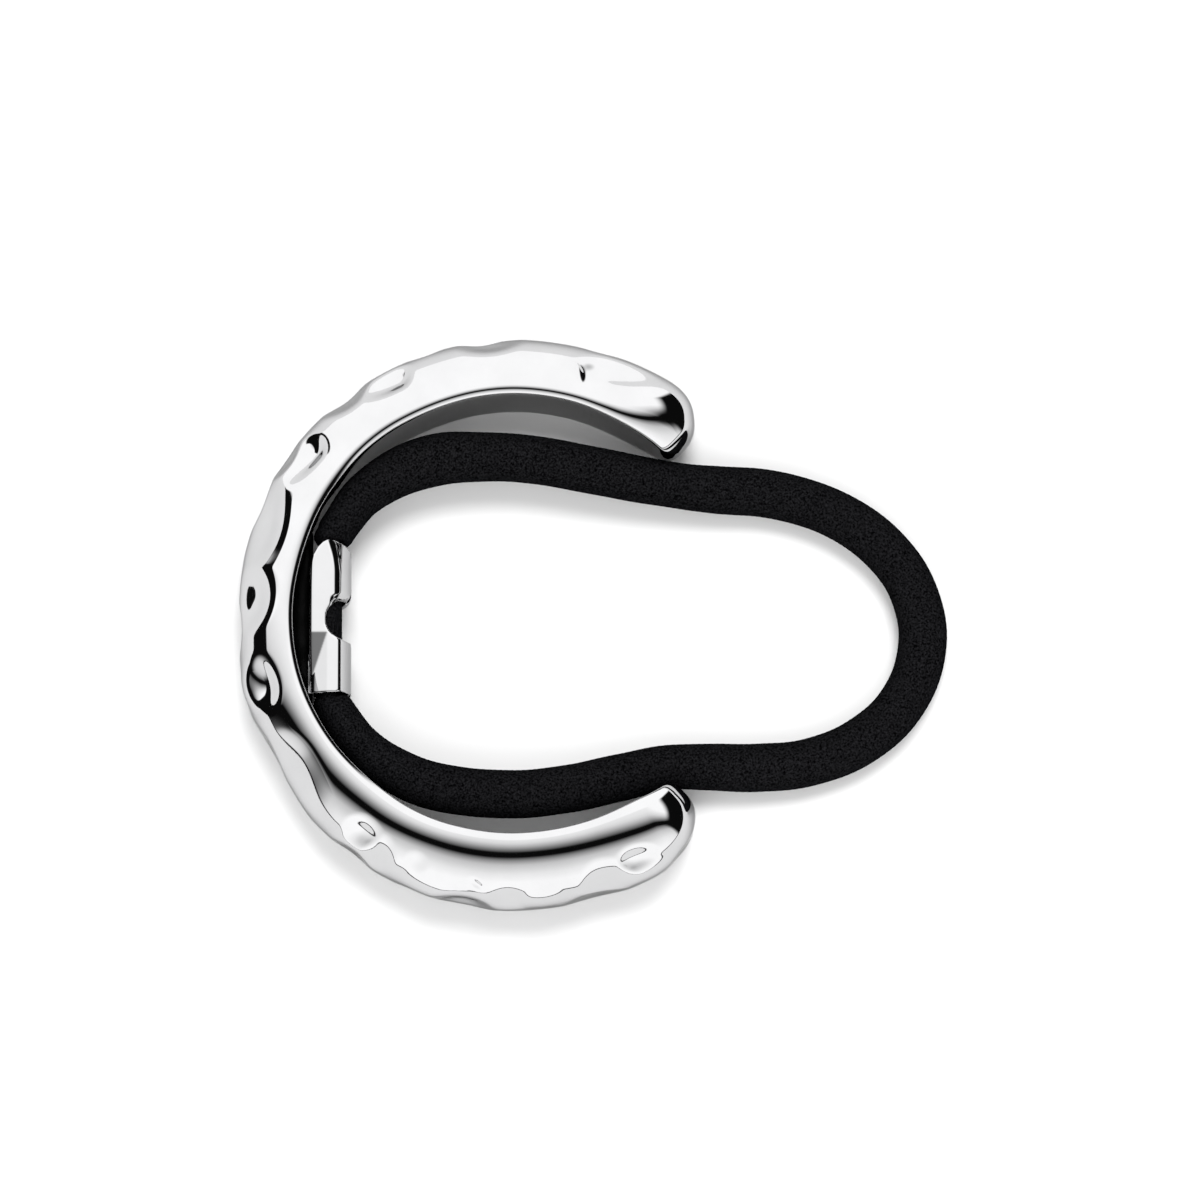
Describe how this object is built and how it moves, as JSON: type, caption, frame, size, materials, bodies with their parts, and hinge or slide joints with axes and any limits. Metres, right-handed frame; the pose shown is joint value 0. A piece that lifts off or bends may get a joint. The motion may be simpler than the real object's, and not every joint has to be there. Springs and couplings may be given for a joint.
{
  "type": "ponytail cuff",
  "caption": "Open C-shaped cuff of dented polished metal; a crimped bracket inside its back holds a fabric-covered elastic loop that fastens it round a ponytail.",
  "frame": {"origin": "centre of the round hollow, on the surface that the cuff lies on", "axes": "+Z along the ponytail, +X towards the mouth of the C, +Y across the C; the far end of the elastic lies towards +X"},
  "size_m": [0.0637, 0.0521, 0.0094],
  "materials": {
    "polished_metal": "mirror-polished silver plating over a hand-dented casting",
    "elastic_fabric": "fine matt knitted cover, black"
  },
  "bodies": {
    "root": {"cuff": "polished_metal", "elastic_loop": "elastic_fabric"}
  },
  "joints": []
}
